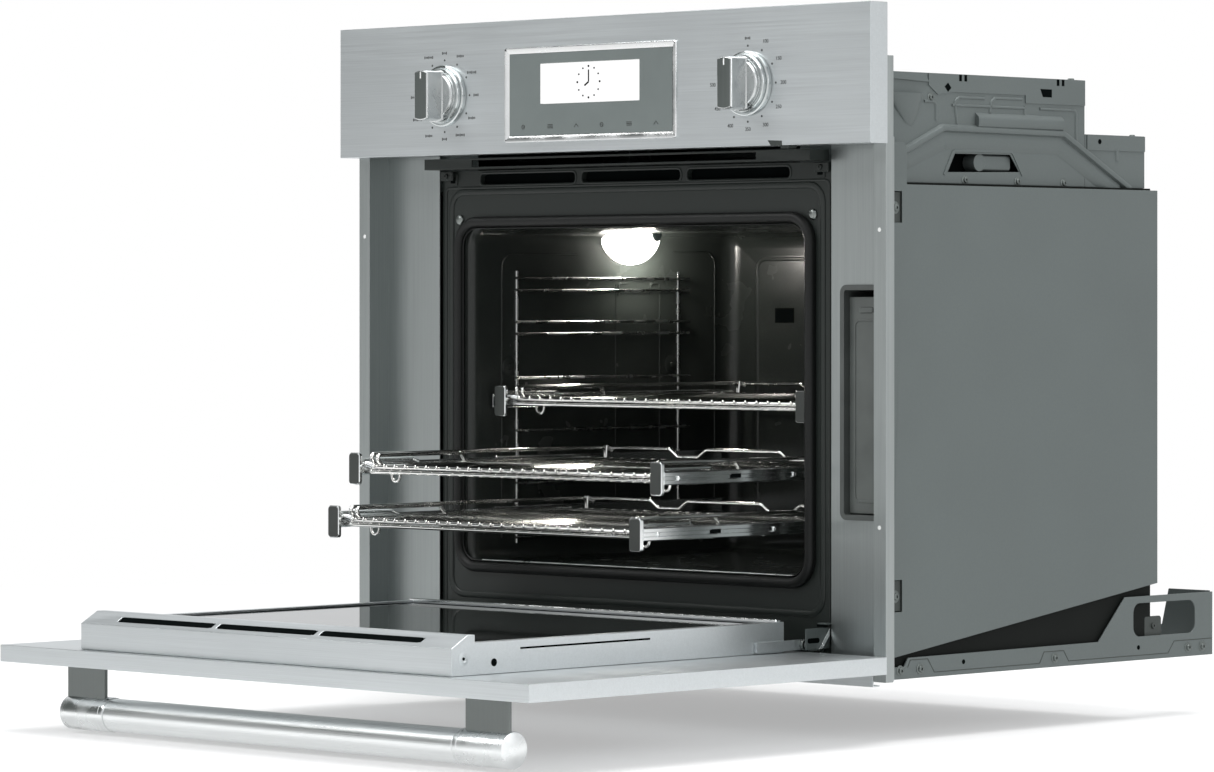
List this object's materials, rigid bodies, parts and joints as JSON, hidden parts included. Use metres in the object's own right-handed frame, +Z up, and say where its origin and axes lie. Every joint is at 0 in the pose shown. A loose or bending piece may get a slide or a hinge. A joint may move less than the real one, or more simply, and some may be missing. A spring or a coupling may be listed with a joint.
{
  "type": "wall oven",
  "caption": "Built-in single wall oven with a drop-down glazed door, control panel with round knobs, wire racks on runners, side water tank and sheet-metal casing.",
  "frame": {"origin": "middle of the underside of the front base member, 30 mm behind the plane of the cabinet face", "axes": "+Y runs back into the cabinet, +Z up, +X to the right as seen from in front"},
  "size_m": [0.7556, 1.0279, 0.7177],
  "materials": {
    "stainless": "fine horizontal brushing",
    "chrome": "polished plating",
    "galvanised": "plain aluminised sheet, matt grey",
    "enamel": "glossy dark grey vitreous enamel",
    "rubber": "matt black silicone",
    "plastic": "fine moulded texture",
    "tank": "smooth grey face",
    "lamp_glass": "frosted lens",
    "display_glass": "grey smoked glass",
    "screen": "lit white screen",
    "board": "lacquered circuit board",
    "heater": "heat-browned steel",
    "dark_glass": "dark reflective coating"
  },
  "bodies": {
    "oven": {"air_outlet_bar": "stainless", "base_cross_front": "galvanised", "base_cross_rear": "galvanised", "base_rail_left": "galvanised", "base_rail_right": "galvanised", "blower_housing": "galvanised", "bottom_trim": "stainless", "cavity_frame": "enamel", "cavity_liner": "enamel", "control_board": "board", "control_fascia": "stainless", "convection_motor": "galvanised", "display_bezel": "chrome", "display_glass": "display_glass", "display_screen": "screen", "door_gasket": "rubber", "fan_baffle": "enamel", "hinge_bracket_left": "enamel", "hinge_bracket_right": "enamel", "inner_casing": "galvanised", "knob_bezel_left": "chrome", "knob_bezel_right": "chrome", "oven_lamp": "lamp_glass", "rack_support_left": "chrome", "rack_support_right": "chrome", "rear_box": "galvanised", "rear_panel": "galvanised", "ring_heater": "heater", "side_panel_left": "galvanised", "side_panel_right": "galvanised", "side_trim_left": "stainless", "side_trim_right": "stainless", "steam_generator": "galvanised", "tank_housing": "plastic", "terminal_box": "galvanised", "upper_housing": "galvanised", "water_pump": "plastic"},
    "door": {"door_panel": "stainless", "door_inner_frame": "enamel", "door_inner_glass": "dark_glass", "door_outer_glass": "dark_glass", "handle_bar": "stainless", "handle_post_left": "stainless", "handle_post_right": "stainless", "hinge_leaf_left": "stainless", "hinge_leaf_right": "stainless"},
    "rack_top": {"rack_top": "chrome", "runner_top_left": "stainless", "runner_top_right": "stainless"},
    "rack_middle": {"rack_middle": "chrome", "runner_middle_left": "stainless", "runner_middle_right": "stainless"},
    "rack_bottom": {"rack_bottom": "chrome", "runner_bottom_left": "stainless", "runner_bottom_right": "stainless"},
    "tank": {"water_tank": "tank"},
    "knob_left": {"knob_left": "stainless"},
    "knob_right": {"knob_right": "stainless"},
    "fan": {"convection_fan": "heater"},
    "blower": {"blower_wheel": "plastic"}
  },
  "joints": [
    {"name": "door_hinge", "type": "hinge", "parent": "oven", "child": "door", "pos_m": [0, -0.0423, 0.0321], "axis": [-1, 0, 0], "range_deg": [0, 90]},
    {"name": "rack_middle_slide", "type": "slide", "parent": "oven", "child": "rack_middle", "axis": [0, 1, 0], "range_m": [0, 0.21]},
    {"name": "rack_bottom_slide", "type": "slide", "parent": "oven", "child": "rack_bottom", "axis": [0, 1, 0], "range_m": [0, 0.242]},
    {"name": "rack_top_slide", "type": "slide", "parent": "oven", "child": "rack_top", "axis": [0, 1, 0], "range_m": [-0.35, 0]},
    {"name": "tank_slide", "type": "slide", "parent": "oven", "child": "tank", "axis": [0, 1, 0], "range_m": [-0.2, 0]},
    {"name": "knob_left_turn", "type": "hinge", "parent": "oven", "child": "knob_left", "pos_m": [-0.2165, -0.09, 0.5842], "axis": [0, 1, 0], "range_deg": [-30, 210]},
    {"name": "knob_right_turn", "type": "hinge", "parent": "oven", "child": "knob_right", "pos_m": [0.2165, -0.09, 0.5842], "axis": [0, 1, 0], "range_deg": [0, 270]},
    {"name": "convection_fan_spin", "type": "hinge", "parent": "oven", "child": "fan", "pos_m": [0, 0.385, 0.273], "axis": [0, 1, 0], "continuous": true},
    {"name": "blower_spin", "type": "hinge", "parent": "oven", "child": "blower", "pos_m": [0, 0.154, 0.532], "axis": [1, 0, 0], "continuous": true}
  ],
  "couplings": [
    {"joint": "rack_middle_slide", "follows": "door_hinge", "m_per_rad": 0.13305},
    {"joint": "rack_bottom_slide", "follows": "door_hinge", "m_per_rad": 0.15343}
  ]
}
